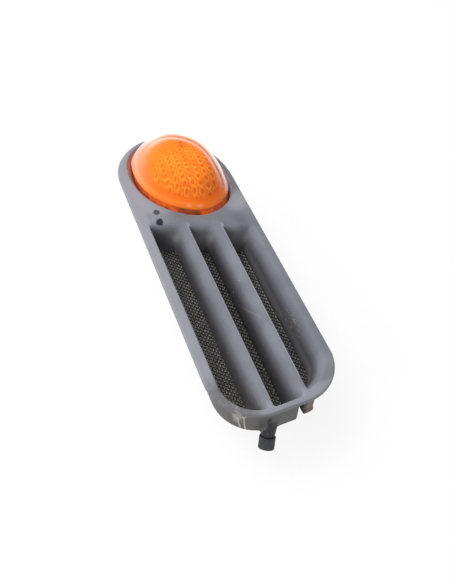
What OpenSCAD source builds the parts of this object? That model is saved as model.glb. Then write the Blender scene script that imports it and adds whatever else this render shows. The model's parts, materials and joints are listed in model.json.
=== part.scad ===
// Side repeater lamp set in a moulded wing vent grille, in millimetres.
// Origin: middle of the rim, in the plane of the panel's outer skin.
// +Z points out of the car, +Y runs along the grille towards the lamp, +X across it.

/* [Rim] */
// Width of the grille over its rim
grille_w = 65; // [60:0.5:75]
// Length of the grille over its rim
grille_l = 200; // [190:1:230]
// Height of the rim and of the slat crests above the panel
rim_h = 3.2; // [2.6:0.1:4.5]
// Half the width less the radius of the near left corner
near_left_less = 5.5; // [4.5:0.5:8.5]
// Radius of the near right corner
near_right_r = 20.5; // [19:0.5:24]
// Half the width less the radius of the rounded tip beyond the lamp
tip_less = 3.9; // [1.5:0.1:4.5]
// Width less the radius of the flank that blends the long right side into the tip
flank_less = 5; // [-5:1:11]

/* [Skirt] */
// Depth of the skirt below the panel
skirt_h = 18; // [17:0.5:24]
// Thickness of the skirt wall
skirt_t = 1.8; // [1.5:0.1:2.2]
// Width of the lip by which the rim covers the panel's edge
skirt_lip = 0.8; // [0.6:0.1:1.2]
// Width of the lip along the left side
skirt_left = 3; // [2.4:0.1:3.2]

/* [Slots] */
// Width of the flat band left of the slots
band_left = 6; // [5.6:0.1:7]
// Width of the flat band right of the slots
band_right = 3.4; // [3:0.1:4]
// Width of the rim at the near end of the slots
band_near = 3; // [2.6:0.1:4]
// Width of the left slot at its floor; the three slots share what the slats leave
slot_left_w = 11.1; // [9:0.1:11.6]
// Width of the middle slot at its floor
slot_mid_w = 8.2; // [6.5:0.1:8.6]
// Width of the right slot at its floor
slot_right_w = 9.6; // [7:0.1:10]
// Width of the curved face of a slat, seen from above
slat_run = 9; // [8:0.1:9.6]
// Width of the curved face of the right wall, seen from above
wall_run = 7.1; // [6.4:0.1:8]
// Flat on the crest of a slat
slat_crest = 0.8; // [0.6:0.1:1.6]
// Wall left round the hollow core of a slat
slat_wall = 2; // [1.6:0.1:2.4]
// Radius of the near left corner of the slots
slot_left_r = 20; // [16:0.5:21]
// Radius to the crest round the near right corner
slot_right_r = 20; // [19.5:0.1:21]
// Ground between the far end of the slot floors and the lamp
scoop_back = 9.5; // [7.5:0.5:15.5]
// Length of the slope at the far end of the slots
scoop_run = 5.6; // [4.5:0.1:7]
// Slant of the far end of the slots
scoop_skew = 22; // [18:0.5:24]

/* [Mesh screen] */
// Thickness of the mesh screen
mesh_t = 1.2; // [0.8:0.1:1.3]
// Gap between the screen and the skirt
mesh_gap = 0.4; // [0.3:0.1:0.8]
// Step between two openings along the screen
mesh_pitch = 5.4; // [5:0.1:6]
// Width of the bar between two openings
mesh_bar = 1.3; // [1:0.1:1.8]
// Radius of a heat stake's pin
stake_r = 0.9; // [0.7:0.05:1]

/* [Lamp opening] */
// Place of the lamp's centre across the grille
lamp_x = 2.4; // [1.6:0.1:3]
// Ground beyond the lamp
lamp_back = 0.7; // [0.1:0.1:1.1]
// Turn of the lamp's long axis away from the grille's
lamp_tilt = 25.5; // [24:0.5:27]
// Half the length of the oval opening less half its width
lamp_longer = 10.8; // [8:0.1:11.1]
// Ground on each side of the oval opening
lamp_side = 6.4; // [6.1:0.1:8.5]
// Half the width of the oval opening less the radius at its two ends
lamp_end_less = 5.6; // [4.6:0.1:8]
// Depth of the ledge that seats the lamp, below the panel
ledge_z = 3.2; // [2.6:0.1:4]
// Inset of the sloping recess at its foot
recess_in = 2.4; // [2:0.1:2.8]
// Thickness of the deck round the lamp
deck_t = 2.4; // [2:0.1:2.6]

/* [Lens] */
// Clearance between the lens and the recess
lens_gap = 0.3; // [0.25:0.05:0.5]
// Thickness of the lens wall
lens_t = 2.2; // [1.8:0.1:2.6]
// Height of the upright edge of the lens above the panel
lens_edge = 4.2; // [3.6:0.1:5]
// Half the width of the oval opening less the height of the dome above the panel
dome_less = 1.7; // [0:0.1:2.4]
// Fullness of the dome: it rises with this power of the way from its middle to its edge
dome_power = 3.5; // [2.8:0.1:4.2]
// Shift of the dome's middle across the lamp
dome_u = 4.5; // [0:0.1:6]
// Shift of the dome's middle along the lamp
dome_v = -4.5; // [-6:0.1:0]
// Thickness of the lens flange
flange_t = 1.8; // [1.4:0.1:2.4]
// Inset of the flange from the oval opening
flange_in = 1; // [0.8:0.1:1.3]
// Thickness of the gasket
gasket_t = 1; // [0.8:0.1:1.4]

/* [Lamp body] */
// Depth of the cup behind the lens
cup_h = 13; // [11:0.5:16]
// Inset of the cup at its floor
cup_in = 9; // [7:0.1:9.5]
// Thickness of the cup wall
cup_t = 2; // [1.6:0.1:2.4]
// Radius of the hole for the bulb holder
holder_hole_r = 11.3; // [11.1:0.1:12]
// Radius of the screw lugs
lug_r = 3.5; // [3.2:0.1:3.6]
// Width of the locating tongue
tongue_w = 8; // [6:0.5:10]
// Reach of the tongue past the flange
tongue_l = 1.4; // [1:0.1:1.6]

/* [Fasteners] */
// Radius of a lamp screw's shank
screw_r = 1.4; // [1.2:0.05:1.5]
// Length of a lamp screw's shank
screw_l = 7; // [5:0.1:7.4]
// Radius of a lamp screw's head
screw_head_r = 3; // [2.6:0.1:3.2]
// Height of a lamp screw's head
screw_head_h = 2; // [1.6:0.1:2.6]
// Radius of a screw boss on the grille
boss_r = 2.8; // [2.5:0.1:3]
// Clearance round a screw's shank
screw_gap = 0.1; // [0.05:0.01:0.15]

/* [Bulb and holder] */
// Radius of the bulb's glass
bulb_r = 5; // [4.8:0.05:5.2]
// Length of the bulb's round glass above the holder
bulb_l = 15; // [13:0.5:17]
// Width of the bulb's wedge base
wedge_w = 9.2; // [8.8:0.1:9.4]
// Thickness of the bulb's wedge base
wedge_t = 3; // [2.6:0.1:3.2]
// Length of the bulb's wedge base
wedge_l = 7; // [6:0.1:7.4]
// Wall of the bulb's glass
glass_t = 0.8; // [0.6:0.05:1]
// Radius of the bulb's lead wires
lead_r = 0.3; // [0.25:0.05:0.4]
// Radius of the holder's neck
neck_r = 10.8; // [10.5:0.1:10.9]
// Height of the holder's neck above its flange
neck_h = 11; // [10:0.1:12]
// Radius of the holder's flange
holder_r = 14; // [13.6:0.1:15]
// Thickness of the holder's flange
holder_t = 2.5; // [2:0.1:3]
// Thickness of the sealing ring
seal_t = 1; // [0.8:0.1:1.4]
// Outer width of the connector shroud
shroud_w = 16; // [15:0.5:18]
// Outer depth of the connector shroud
shroud_d = 11; // [10.5:0.5:13]
// Length of the connector shroud
shroud_l = 13; // [12:0.5:16]
// Wall of the connector shroud
shroud_t = 1.5; // [1.2:0.1:1.8]
// Clearance round the bulb's wedge base in its pocket
wedge_gap = 0.1; // [0.05:0.01:0.15]
// Thickness of a contact
contact_t = 0.8; // [0.6:0.05:0.9]
// Width of a contact
contact_w = 2.8; // [2.4:0.1:3.2]

/* [Locating peg] */
// Place of the peg's foot across the grille
peg_x = -6.3; // [-9:0.1:2]
// Lean of the peg away from straight down, towards the near end
peg_lean = 40; // [36:1:46]
// Lean of the peg across the grille, towards the left
peg_skew = 21; // [10:1:24]
// Radius of the peg's root where it leaves the skirt
peg_root_r = 4.8; // [4.2:0.1:5.4]
// Radius of the peg's neck where its sleeve starts
peg_neck_r = 3.4; // [3:0.1:3.8]
// Length of the peg's root from its foot to the sleeve
peg_root_l = 9.5; // [8.5:0.5:11]
// Radius of the peg's core inside the sleeve
peg_core_r = 2.2; // [1.8:0.1:2.6]
// Outer radius of the peg's rubber sleeve
sleeve_r = 4.1; // [3.8:0.1:4.5]
// Length of the rubber sleeve
sleeve_l = 6; // [5:0.5:8]
// Thickness of the sleeve's closed end
sleeve_end = 1.5; // [1:0.1:2]

/* [Snap tabs] */
// Width of a side snap tab
tab_w = 10; // [8:0.5:14]
// Gap on each side of a snap tab
tab_gap = 2.4; // [1.5:0.1:3]
// Depth of a snap tab below the panel
tab_h = 13.5; // [12:0.5:15]
// Reach of a snap tab's hook past the skirt
hook_out = 0.7; // [0.4:0.1:1]
// Height of a snap tab's hook
hook_h = 3; // [2:0.1:4]
// Place along the grille of the side tabs
side_tab_y = -30; // [-50:1:0]
// Place across the grille of the near snap tab's first edge
near_tab_x = 9.4; // [9:0.1:10]
// Width across the grille of the near snap tab
near_tab_w = 6; // [5:0.5:8]
// Thickness of the near snap tab
near_tab_t = 4.5; // [3:0.1:5]

/* [Hidden] */
$fn = 96;
// A cut runs this far past the face that it opens
over = 1;

half_w = grille_w / 2;
half_l = grille_l / 2;
near_left_r = half_w - near_left_less;
tip_r = half_w - tip_less;
flank_r = grille_w - flank_less;
tip_x = -half_w + tip_r;
flank_x = half_w - flank_r;

// Slots: each starts at its left wall and ends at the foot of a curved face
// Depth by which the mesh screen is let into the back of the skirt
mesh_seat = 0.5;
floor_z = -skirt_h + mesh_t + mesh_seat;
slot_depth = rim_h - floor_z;
x_left = -half_w + band_left;
slot_fit = (grille_w - band_left - band_right - 2 * (slat_run + slat_crest) - wall_run)
    / (slot_left_w + slot_mid_w + slot_right_w);
foot_1 = x_left + slot_fit * slot_left_w;
crest_1 = foot_1 + slat_run;
x_mid = crest_1 + slat_crest;
foot_2 = x_mid + slot_fit * slot_mid_w;
crest_2 = foot_2 + slat_run;
x_right = crest_2 + slat_crest;
foot_3 = x_right + slot_fit * slot_right_w;
crest_3 = foot_3 + wall_run;
near_y = -half_l + band_near;
right_c = [crest_3 - slot_right_r, near_y + slot_right_r];

// Oval of the lamp: two end arcs and two side arcs
lamp_half_w = half_w - lamp_side;
lamp_half_l = lamp_half_w + lamp_longer;
lamp_end_r = lamp_half_w - lamp_end_less;
lamp_y = half_l - lamp_half_l - lamp_back;
oval_v = lamp_half_l - lamp_end_r;
oval_side_r = (pow(lamp_half_w, 2) + pow(oval_v, 2) - pow(lamp_end_r, 2))
    / (2 * (lamp_half_w - lamp_end_r));
oval_c = oval_side_r - lamp_half_w;
oval_a = atan2(oval_v, oval_c);
oval_n = 20;
dome_h = lamp_half_w - dome_less;
dome_n = 14;
// The foot of the dome is set into the wall of the lens by this much
dome_root = 0.3;

// The slots end before the lamp; behind their end wall the hollow under the lamp starts
scoop_y = lamp_y - lamp_half_l - scoop_back;
scoop_wall = 1.6;
cavity_y = scoop_y + (scoop_run + scoop_wall) / cos(scoop_skew);

// Heights in the lamp
lens_in = recess_in + lens_gap;
flange_top = -ledge_z - gasket_t;
flange_bot = flange_top - flange_t;
rim_bot = flange_bot - cup_t;
cup_bot = rim_bot - cup_h;
seal_bot = cup_bot - seal_t;
holder_top = seal_bot + neck_h + seal_t;
holder_bot = seal_bot - holder_t;
shroud_bot = holder_bot - shroud_l;
wedge_bot = holder_top - wedge_l;
seat_out = 0.6;
flange_gap = 0.5;

tongue_gap = 0.3;
seal_edge = 0.6;
gasket_edge = 0.2;

// Screws stand beside the oval: how far past its side, and how far past its near end
screw_out = [4.3, 4.6];
// Shift of the left screw along the lamp, and place of the right screw from the lamp's side
screw_shift = -3.4;
screw_side = 20.2;
screw_pts = [lamp_point(-lamp_half_w - screw_out[0], screw_shift),
    lamp_point(lamp_half_w - screw_side, -lamp_half_l - screw_out[1])];
lug_len = 9;
// A pilot hole is deeper than its screw by this much
pilot_more = 0.3;
// Width and share of the head of a screw's cross recess, and its depth
cross_w = 0.8;
cross_share = 1.2;
cross_d = 1;

// Contacts press on the two edges of the bulb's wedge base
contact_x = wedge_w / 2 + wedge_gap + contact_t / 2;
// A contact stops short of the shroud's mouth and of the holder's top
contact_mouth = 3;
contact_top = 1;
lead_x = wedge_w / 4;
lead_top = holder_top + bulb_l - bulb_r - 1;
filament_r = 0.35;
bayonet_out = 1.6;
bayonet_w = 4;
bayonet_h = 1.6;

// Foot of the peg, inside the near wall of the skirt, and the slit above it
peg_foot = [peg_x, -half_l + skirt_lip + skirt_t + 1.9, -skirt_h + 5];
slit_x = peg_x - 2;
slit_w = 1.8;
slit_h = 7.5;
slit_z = -12.5;

// The windows round the snap tabs stop this far below the panel
tab_top = 2.5;
// The hollow cores stop this far short of the slope's foot
core_short = 14;

// The mesh screen reaches this far past the foot of the right wall
mesh_edge = 3.4;
// Heat stakes stand in rows beside the slots
stake_out = 1.5;
stake_near = 25;
stake_far = 6;
stake_x = [x_mid - slat_wall / 2, x_right - slat_wall / 2, foot_3 + stake_out];
stake_y = [near_y + stake_near, (near_y + scoop_y) / 2, scoop_y - stake_far];
stake_gap = 0.05;
stake_head = 0.7;

// Openings of the mesh screen: how far past the near rim they start in each slot
mesh_slots = [[x_left, foot_1, 7], [x_mid, foot_2, 2], [x_right, foot_3, 9]];
mesh_rows = 20;

// Points of a quarter oval that rises upright from [0, 0] and ends level at [run, rise]
function quarter(run, rise, n) =
    [for (i = [0 : n]) [run * (1 - cos(90 * i / n)), rise * sin(90 * i / n)]];

// Run of the right wall's curve at the height z
function quarter_at(z) = wall_run * (1 - sqrt(1 - pow((z - floor_z) / slot_depth, 2)));

// Place in the grille of a point given in the lamp's own plan
function lamp_point(u, v) =
    [lamp_x + u * cos(lamp_tilt) - v * sin(lamp_tilt), lamp_y + u * sin(lamp_tilt) + v * cos(lamp_tilt)];

// Points along an arc of radius r round c
function arc(c, r, a0, a1, n) =
    [for (i = [0 : n]) c + r * [cos(a0 + i * (a1 - a0) / n), sin(a0 + i * (a1 - a0) / n)]];

// The same without the last point, for a closed line of arcs that run on into each other
function arc_part(c, r, a0, a1, n) =
    [for (i = [0 : n - 1]) c + r * [cos(a0 + i * (a1 - a0) / n), sin(a0 + i * (a1 - a0) / n)]];

// Points of the lamp's oval, moved in by inset
function oval_points(inset) = concat(
    arc_part([-oval_c, 0], oval_side_r - inset, -oval_a, oval_a, oval_n),
    arc_part([0, oval_v], lamp_end_r - inset, oval_a, 180 - oval_a, oval_n),
    arc_part([oval_c, 0], oval_side_r - inset, 180 - oval_a, 180 + oval_a, oval_n),
    arc_part([0, -oval_v], lamp_end_r - inset, 180 + oval_a, 360 - oval_a, oval_n));

// Outline of the grille, moved in at its left, at its right and at both ends: four arcs
// joined by straight sides
function outline_points(left, right, end) =
    let (r1 = near_left_r - left, r2 = near_right_r - right, r3 = flank_r - right, r4 = tip_r - left,
        tip_y = half_l - end - r4,
        flank_y = tip_y - sqrt(pow(r3 - r4, 2) - pow(tip_x - flank_x, 2)),
        flank_a = atan2(tip_y - flank_y, tip_x - flank_x))
    concat(
        arc([-half_w + near_left_r, -half_l + end + r1], r1, 180, 270, 14),
        arc([half_w - near_right_r, -half_l + end + r2], r2, 270, 360, 14),
        arc([flank_x, flank_y], r3, 0, flank_a, 12),
        arc([tip_x, tip_y], r4, flank_a + 7, 180, 20));

module rim_body(z0, z1) {
    translate([0, 0, z0]) linear_extrude(z1 - z0) polygon(outline_points(0, 0, 0));
}

// Body inside the skirt's outer face, moved in by inset
module skirt_body(z0, z1, inset) {
    translate([0, 0, z0]) linear_extrude(z1 - z0)
        polygon(outline_points(skirt_left + inset, skirt_lip + inset, skirt_lip + inset));
}

module at_lamp() {
    translate([lamp_x, lamp_y, 0]) rotate([0, 0, lamp_tilt]) children();
}

// Oval of the lamp from z0 to z1, moved in by d0 at the bottom and d1 at the top
module oval(z0, z1, d0, d1) {
    n = 4 * oval_n;
    if (d0 == d1) {
        translate([0, 0, z0]) linear_extrude(z1 - z0) polygon(oval_points(d0));
    } else {
        polyhedron(
            concat([for (p = oval_points(d0)) [p.x, p.y, z0]], [for (p = oval_points(d1)) [p.x, p.y, z1]]),
            concat([[for (i = [0 : n - 1]) i]], [[for (i = [n - 1 : -1 : 0]) n + i]],
                [for (i = [0 : n - 1]) [i, n + i, n + (i + 1) % n, (i + 1) % n]]));
    }
}

// Space beyond a slanted line that crosses the grille's centre line at y
module beyond(y, z0, z1) {
    translate([0, y, z0]) rotate([0, 0, -scoop_skew]) translate([-grille_w, 0, 0])
        cube([2 * grille_w, grille_l, z1 - z0]);
}

// Section of one slot: upright left wall, curved right face that starts at its foot
module slot_section(x0, foot, run) {
    polygon(concat([[x0, floor_z - over], [foot, floor_z - over]],
        [for (p = quarter(run, slot_depth, 10)) [foot + p.x, floor_z + p.y]],
        [[foot + run, rim_h + over], [x0, rim_h + over]]));
}

module slot_run(x0, foot, run, y0) {
    translate([0, half_l, 0]) rotate([90, 0, 0]) linear_extrude(half_l - y0)
        slot_section(x0, foot, run);
}

// Ground that closes the far end of the slots with a rounded slope
module scoop() {
    translate([0, scoop_y, 0]) rotate([0, 0, -scoop_skew]) rotate([90, 0, 90])
        translate([0, 0, -grille_w]) linear_extrude(2 * grille_w)
            polygon(concat([[0, floor_z - 2 * over]],
                [for (p = quarter(scoop_run, slot_depth, 10)) [p.x, floor_z + p.y]],
                [[scoop_run, rim_h + 2 * over], [grille_l, rim_h + 2 * over],
                 [grille_l, floor_z - 2 * over]]));
}

// Near left corner of the slots, in plan
module slot_plan() {
    polygon(concat(
        arc([x_left + slot_left_r, near_y + slot_left_r], slot_left_r, 180, 270, 12),
        [[crest_3, near_y], [crest_3, half_l], [x_left, half_l]]));
}

// Section of the sweep of the right wall from z0 to z1, moved out by wall
module sweep_section(wall, z0, z1) {
    foot = foot_3 - right_c.x + wall;
    polygon(concat([[0, z0], [foot, z0]],
        [for (p = quarter(wall_run, slot_depth, 10)) if (floor_z + p.y < z1) [foot + p.x, floor_z + p.y]],
        [[foot + (z1 > rim_h ? wall_run : quarter_at(z1)), z1], [0, z1]]));
}

// The right wall sweeps round the near corner
module right_sweep() {
    intersection() {
        translate([right_c.x, right_c.y, 0]) rotate_extrude()
            sweep_section(0, floor_z - over, rim_h + over);
        translate([x_right, near_y - over, floor_z - 2 * over])
            cube([grille_w, slot_right_r + over, slot_depth + 4 * over]);
    }
}

module slots() {
    difference() {
        union() {
            intersection() {
                union() {
                    slot_run(x_left, foot_1, slat_run, near_y - over);
                    slot_run(x_mid, foot_2, slat_run, near_y - over);
                }
                translate([0, 0, floor_z - over])
                    linear_extrude(slot_depth + 2 * over) slot_plan();
            }
            slot_run(x_right, foot_3, wall_run, right_c.y);
            right_sweep();
        }
        scoop();
    }
}

// Hollow behind a curved face, open at the back
module core(foot, run, back_x) {
    y0 = near_y + slot_right_r;
    y1 = scoop_y - core_short;
    translate([0, y1, 0]) rotate([90, 0, 0]) linear_extrude(y1 - y0)
        polygon(concat([[foot + slat_wall, floor_z - over]],
            [for (p = quarter(run - 1.5 * slat_wall, slot_depth - 2 * slat_wall, 8))
                if (foot + slat_wall + p.x < back_x) [foot + slat_wall + p.x, floor_z + p.y]],
            [[back_x, floor_z + slot_depth - 2 * slat_wall], [back_x, floor_z - over]]));
}

// Ring of the near snap tab's thickness from z0 to z1, standing out of the skirt by more
module tab_ring(z0, z1, more) {
    difference() {
        skirt_body(z0, z1, -more);
        skirt_body(z0 - over, z1 + over, near_tab_t);
    }
}

// Middle of the skirt's wall on the left, -1, or on the right, 1
function skirt_x(side) = side * (half_w - (side < 0 ? skirt_left : skirt_lip) - skirt_t / 2);

module side_tab(side) {
    x = skirt_x(side);
    translate([x, side_tab_y, -tab_h / 2]) cube([skirt_t, tab_w, tab_h], center = true);
    translate([x + side * hook_out / 2, side_tab_y, -tab_h + hook_h / 2])
        cube([skirt_t + hook_out, tab_w, hook_h], center = true);
}

module side_tab_window(side) {
    translate([skirt_x(side), side_tab_y, -skirt_h / 2 - tab_top])
        cube([skirt_t + over, tab_w + 2 * tab_gap, skirt_h], center = true);
}

module near_slab(x0, x1, z0, z1) {
    translate([x0, -half_l - over, z0]) cube([x1 - x0, near_right_r, z1 - z0]);
}

// Space outside the wall of the right slot: the gap beside the near tab, and the open corner
// on its other side, where the skirt is cut away up to the rim
module corner_space() {
    tab_end = near_tab_x + near_tab_w;
    difference() {
        union() {
            near_slab(near_tab_x - tab_gap, tab_end + over, -skirt_h - over, -tab_top);
            near_slab(tab_end, half_w + over, -skirt_h - over, 0);
        }
        translate([right_c.x, right_c.y, 0]) rotate_extrude()
            sweep_section(slat_wall, -skirt_h - 2 * over, over);
    }
}

module peg_axis() {
    translate(peg_foot) rotate([-peg_lean, 0, 0]) rotate([180, peg_skew, 0]) children();
}

module stakes(r, z0, z1) {
    for (x = stake_x)
        for (y = stake_y)
            translate([x, y, z0]) cylinder(h = z1 - z0, r = r, $fn = 32);
}

module grille_frame() {
    color([0.52, 0.53, 0.58]) {
        difference() {
            union() {
                rim_body(0, rim_h);
                skirt_body(-skirt_h, over, 0);
            }
            // Back of the slots and of the lamp
            skirt_body(-skirt_h - over, floor_z, skirt_t);
            difference() {
                skirt_body(-skirt_h - over, rim_h - deck_t, skirt_t);
                difference() {
                    rim_body(-skirt_h - 2 * over, rim_h);
                    beyond(cavity_y, -skirt_h - 2 * over, rim_h + over);
                }
                at_lamp() oval(-ledge_z, rim_h, -seat_out, -seat_out);
                for (p = screw_pts)
                    translate([p.x, p.y, flange_bot]) cylinder(h = rim_h - flange_bot, r = boss_r);
            }
            at_lamp() oval(-skirt_h - over, -ledge_z, flange_gap, flange_gap);
            at_lamp() oval(-ledge_z - over, -ledge_z, recess_in, recess_in);
            at_lamp() oval(-ledge_z, rim_h, recess_in, 0);
            at_lamp() oval(rim_h, rim_h + over, 0, 0);
            slots();
            core(foot_1, slat_run, crest_1 + slat_crest - slat_wall);
            core(foot_2, slat_run, crest_2 + slat_crest - slat_wall);
            for (p = screw_pts)
                translate([p.x, p.y, flange_bot - over])
                    cylinder(h = screw_l - cup_t + over + pilot_more, r = screw_r + screw_gap, $fn = 48);
            // Windows round the snap tabs and the slit beside the peg
            side_tab_window(-1);
            side_tab_window(1);
            corner_space();
            translate([slit_x - slit_w / 2, -half_l, slit_z]) cube([slit_w, skirt_lip + skirt_t / 2, slit_h]);
            // Window for the lamp's tongue
            at_lamp() translate([-tongue_w / 2 - tongue_gap, lamp_half_l - flange_in - cup_t,
                rim_bot - tongue_gap])
                cube([tongue_w + 2 * tongue_gap, cup_t + tongue_l + skirt_left, cup_t + 2 * tongue_gap]);
        }
        side_tab(-1);
        side_tab(1);
        intersection() {
            union() {
                tab_ring(-tab_h, 0, 0);
                tab_ring(-tab_h, -tab_h + hook_h, hook_out);
            }
            near_slab(near_tab_x, near_tab_x + near_tab_w, -tab_h, 0);
        }
        stakes(stake_r, floor_z - mesh_t, floor_z);
        stakes(stake_r + stake_head, -skirt_h, floor_z - mesh_t);
        // Root of the locating peg and the core inside its sleeve
        difference() {
            peg_axis() {
                cylinder(h = peg_root_l, r1 = peg_root_r, r2 = peg_neck_r);
                cylinder(h = peg_root_l + sleeve_l - sleeve_end, r = peg_core_r);
            }
            skirt_body(-skirt_h, rim_h, skirt_t);
        }
    }
}

module mesh_screen() {
    hole_l = mesh_pitch - mesh_bar;
    color([0.13, 0.14, 0.14]) difference() {
        intersection() {
            skirt_body(floor_z - mesh_t, floor_z, skirt_t + mesh_gap);
            translate([-half_w, -half_l, floor_z - mesh_t - over])
                cube([half_w + foot_3 + mesh_edge, grille_l, mesh_t + 2 * over]);
        }
        translate([0, 0, -over]) corner_space();
        beyond(cavity_y - 2, floor_z - mesh_t - over, floor_z + over);
        stakes(stake_r + stake_gap, floor_z - mesh_t - over, floor_z + over);
        for (s = mesh_slots) {
            hole_w = (s[1] - s[0] - 2 * mesh_bar) / 2;
            far_y = scoop_y - s[1] * tan(scoop_skew) - mesh_bar;
            for (i = [0 : mesh_rows - 1])
                for (j = [0, 1]) {
                    y = near_y + s[2] + i * mesh_pitch;
                    if (y + hole_l < far_y)
                        translate([s[0] + mesh_bar / 2 + j * (hole_w + mesh_bar), y,
                            floor_z - mesh_t - over]) cube([hole_w, hole_l, mesh_t + 2 * over]);
                }
        }
    }
}

// Dome of the lens: ovals that draw in towards its middle as they rise; moved in by inset
module dome(inset) {
    n = 4 * oval_n;
    edge_z = lens_edge - inset;
    edge = oval_points(lens_in + inset);
    shares = [for (i = [dome_n : -1 : 1]) sin(90 * i / dome_n)];
    polyhedron(
        concat([for (p = oval_points(lens_in + inset + dome_root)) [p.x, p.y, edge_z - over]],
            [for (s = shares) for (p = edge) [p.x * s + dome_u * (1 - s), p.y * s + dome_v * (1 - s),
                edge_z + (dome_h - lens_edge) * (1 - pow(s, dome_power))]]),
        concat([[for (i = [0 : n - 1]) i]], [[for (i = [n - 1 : -1 : 0]) dome_n * n + i]],
            [for (k = [0 : dome_n - 1]) for (i = [0 : n - 1])
                [k * n + i, (k + 1) * n + i, (k + 1) * n + (i + 1) % n, k * n + (i + 1) % n]]));
}

module lens() {
    color([1, 0.49, 0.08, 0.9]) at_lamp() difference() {
        union() {
            oval(flange_bot, flange_top, flange_in, flange_in);
            oval(flange_top, lens_edge, lens_in, lens_in);
            dome(0);
        }
        oval(flange_bot - over, lens_edge - lens_t, lens_in + lens_t, lens_in + lens_t);
        dome(lens_t);
    }
}

module lens_gasket() {
    color([0.1, 0.1, 0.1]) at_lamp() translate([0, 0, flange_top]) linear_extrude(gasket_t)
        difference() {
            polygon(oval_points(flange_in + gasket_edge));
            polygon(oval_points(lens_in - gasket_edge));
        }
}

module lug(p) {
    away = [lamp_x - p.x, lamp_y - p.y];
    translate([p.x, p.y, rim_bot]) {
        cylinder(h = cup_t, r = lug_r);
        rotate([0, 0, atan2(away.y, away.x)]) translate([0, -lug_r + 0.5, 0])
            cube([lug_len, 2 * lug_r - 1, cup_t]);
    }
}

module lamp_body() {
    color([0.82, 0.82, 0.8]) difference() {
        union() {
            at_lamp() oval(rim_bot, flange_bot, flange_in, flange_in);
            at_lamp() oval(cup_bot, rim_bot, cup_in, lens_in);
            for (p = screw_pts) lug(p);
            at_lamp() translate([-tongue_w / 2, lamp_half_l - flange_in - cup_t, rim_bot])
                cube([tongue_w, tongue_l + cup_t, cup_t]);
        }
        at_lamp() oval(cup_bot + cup_t, rim_bot, cup_in + cup_t, lens_in + lens_t);
        at_lamp() oval(rim_bot, flange_bot + over, lens_in + lens_t, lens_in + lens_t);
        at_lamp() translate([0, 0, cup_bot - over])
            cylinder(h = cup_t + 2 * over, r = holder_hole_r);
        for (p = screw_pts)
            translate([p.x, p.y, rim_bot - over])
                cylinder(h = cup_t + 2 * over, r = screw_r + screw_gap, $fn = 48);
    }
}

module lamp_screw(p) {
    cross_l = cross_share * screw_head_r;
    color([0.7, 0.71, 0.73]) translate([p.x, p.y, rim_bot]) difference() {
        union() {
            cylinder(h = screw_l, r = screw_r, $fn = 48);
            translate([0, 0, -screw_head_h]) cylinder(h = screw_head_h, r = screw_head_r, $fn = 48);
        }
        for (a = [0, 90])
            rotate([0, 0, a]) translate([-cross_l / 2, -cross_w / 2, -screw_head_h - over])
                cube([cross_l, cross_w, cross_d + over]);
    }
}

module lamp_screw_left() {
    lamp_screw(screw_pts[0]);
}

module lamp_screw_right() {
    lamp_screw(screw_pts[1]);
}

module bulb_glass() {
    color([0.95, 0.93, 0.88, 0.5]) at_lamp() translate([0, 0, holder_top]) difference() {
        union() {
            cylinder(h = bulb_l - bulb_r, r = bulb_r);
            translate([0, 0, bulb_l - bulb_r]) sphere(bulb_r);
            translate([-wedge_w / 2, -wedge_t / 2, -wedge_l]) cube([wedge_w, wedge_t, wedge_l]);
        }
        translate([0, 0, glass_t]) cylinder(h = bulb_l - bulb_r - glass_t, r = bulb_r - glass_t);
        translate([0, 0, bulb_l - bulb_r]) sphere(bulb_r - glass_t);
        // Passages of the two lead wires
        for (s = [-1, 1])
            translate([s * lead_x, 0, -wedge_l - over])
                cylinder(h = wedge_l + glass_t + 2 * over, r = lead_r, $fn = 24);
    }
}

// A lead wire runs through the wedge and up to the end of the filament
module bulb_lead(side) {
    color([0.75, 0.74, 0.7]) at_lamp()
        translate([side * lead_x, 0, wedge_bot])
            cylinder(h = lead_top - wedge_bot, r = lead_r, $fn = 24);
}

module bulb_lead_left() {
    bulb_lead(-1);
}

module bulb_lead_right() {
    bulb_lead(1);
}

module bulb_filament() {
    color([0.6, 0.6, 0.62]) at_lamp()
        translate([-lead_x + lead_r, 0, lead_top - filament_r]) rotate([0, 90, 0])
            cylinder(h = 2 * (lead_x - lead_r), r = filament_r, $fn = 24);
}

// A blade beside the wedge base, with a foot that reaches under the lead wire
module contact(side) {
    blade_bot = shroud_bot + contact_mouth;
    foot_l = contact_x - lead_x + lead_r;
    color([0.78, 0.62, 0.28]) at_lamp() mirror([side < 0 ? 1 : 0, 0, 0]) {
        translate([contact_x - contact_t / 2, -contact_w / 2, blade_bot])
            cube([contact_t, contact_w, holder_top - contact_top - blade_bot]);
        translate([contact_x - foot_l, -contact_w / 2, wedge_bot - contact_t])
            cube([foot_l, contact_w, contact_t]);
    }
}

module contact_left() {
    contact(-1);
}

module contact_right() {
    contact(1);
}

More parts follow.
